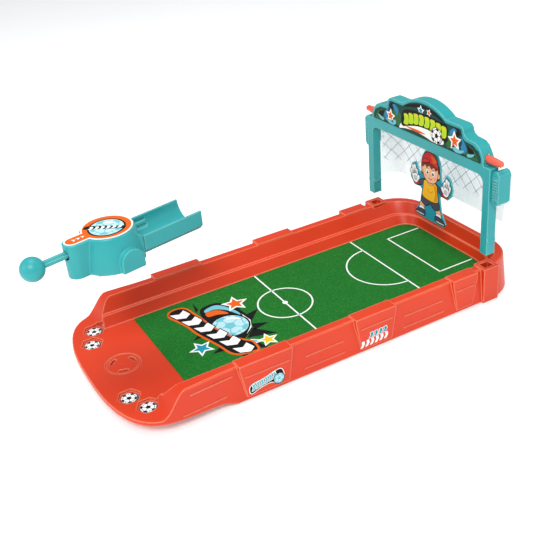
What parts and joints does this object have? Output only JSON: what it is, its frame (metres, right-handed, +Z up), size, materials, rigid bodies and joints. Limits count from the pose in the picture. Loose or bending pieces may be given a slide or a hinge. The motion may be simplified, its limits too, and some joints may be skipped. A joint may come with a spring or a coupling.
{
  "type": "tabletop soccer shooting game",
  "caption": "Tabletop soccer game: a walled pitch tray, a spring ball launcher on a turntable and a goal with a sliding keeper, shown lifted from their seats.",
  "frame": {"origin": "middle of the whole game's box, on the surface that the tray stands on", "axes": "+X along the pitch from the launcher to the goal, +Y to the left of a player looking at the goal, +Z up"},
  "size_m": [0.502, 0.2282, 0.196],
  "materials": {
    "coral_plastic": "satin moulded plastic, coral red",
    "teal_plastic": "satin moulded plastic, teal",
    "pitch_print": "printed grass sheet with white pitch lines",
    "sticker": "laminated printed sticker",
    "net_plastic": "thin translucent sheet with a printed net",
    "screw_steel": "zinc-plated steel"
  },
  "bodies": {
    "tray": {"tray_shell": "coral_plastic", "pitch_sheet": "pitch_print", "well_sticker_1": "sticker", "well_sticker_2": "sticker", "well_sticker_3": "sticker", "well_sticker_4": "sticker", "side_label_near_1": "sticker", "side_label_near_2": "sticker", "side_label_far_1": "sticker", "side_label_far_2": "sticker"},
    "turntable": {"turntable_disc": "coral_plastic", "turntable_retainer": "coral_plastic", "turntable_screw": "screw_steel"},
    "launcher": {"launcher_housing": "teal_plastic", "launcher_base": "teal_plastic", "launcher_chute": "teal_plastic", "launcher_label": "sticker", "base_screw_1": "screw_steel", "base_screw_2": "screw_steel", "base_screw_3": "screw_steel", "plunger_spring": "screw_steel"},
    "plunger": {"plunger_rod": "teal_plastic", "plunger_knob": "teal_plastic", "striker_head": "teal_plastic"},
    "goal": {"goal_frame": "teal_plastic", "header_back": "teal_plastic", "header_screw_1": "screw_steel", "header_screw_2": "screw_steel", "header_screw_3": "screw_steel", "header_screw_4": "screw_steel", "header_sticker": "sticker", "side_box_near": "teal_plastic", "side_box_far": "teal_plastic", "grille_near": "teal_plastic", "grille_far": "teal_plastic", "net_sheet": "net_plastic", "net_pin_near_1": "teal_plastic", "net_pin_near_2": "teal_plastic", "net_pin_far_1": "teal_plastic", "net_pin_far_2": "teal_plastic"},
    "keeper_slider": {"keeper_rod": "coral_plastic", "handle_near": "coral_plastic", "handle_far": "coral_plastic"},
    "keeper": {"keeper_clip": "teal_plastic", "keeper_board": "teal_plastic", "keeper_print": "sticker"}
  },
  "joints": [
    {"name": "turntable_turn", "type": "hinge", "parent": "tray", "child": "turntable", "pos_m": [-0.17498, 0, 0.015], "axis": [0, 0, 1], "range_deg": [-37, 13]},
    {"name": "launcher_lift", "type": "slide", "parent": "turntable", "child": "launcher", "axis": [0, 0, 1], "range_m": [-0.1124, 0]},
    {"name": "plunger_pull", "type": "slide", "parent": "launcher", "child": "plunger", "axis": [-0.9781, -0.2079, 0], "range_m": [0, 0.02], "stiffness_N_per_m": 60, "springref_m": -0.005},
    {"name": "goal_lift", "type": "slide", "parent": "tray", "child": "goal", "axis": [0, 0, 1], "range_m": [-0.0292, 0]},
    {"name": "keeper_slide", "type": "slide", "parent": "goal", "child": "keeper_slider", "axis": [0, 1, 0], "range_m": [-0.018, 0.018]},
    {"name": "keeper_swing", "type": "hinge", "parent": "keeper_slider", "child": "keeper", "pos_m": [0.20422, 0, 0.158], "axis": [0, 1, 0], "range_deg": [-10, 5]}
  ]
}
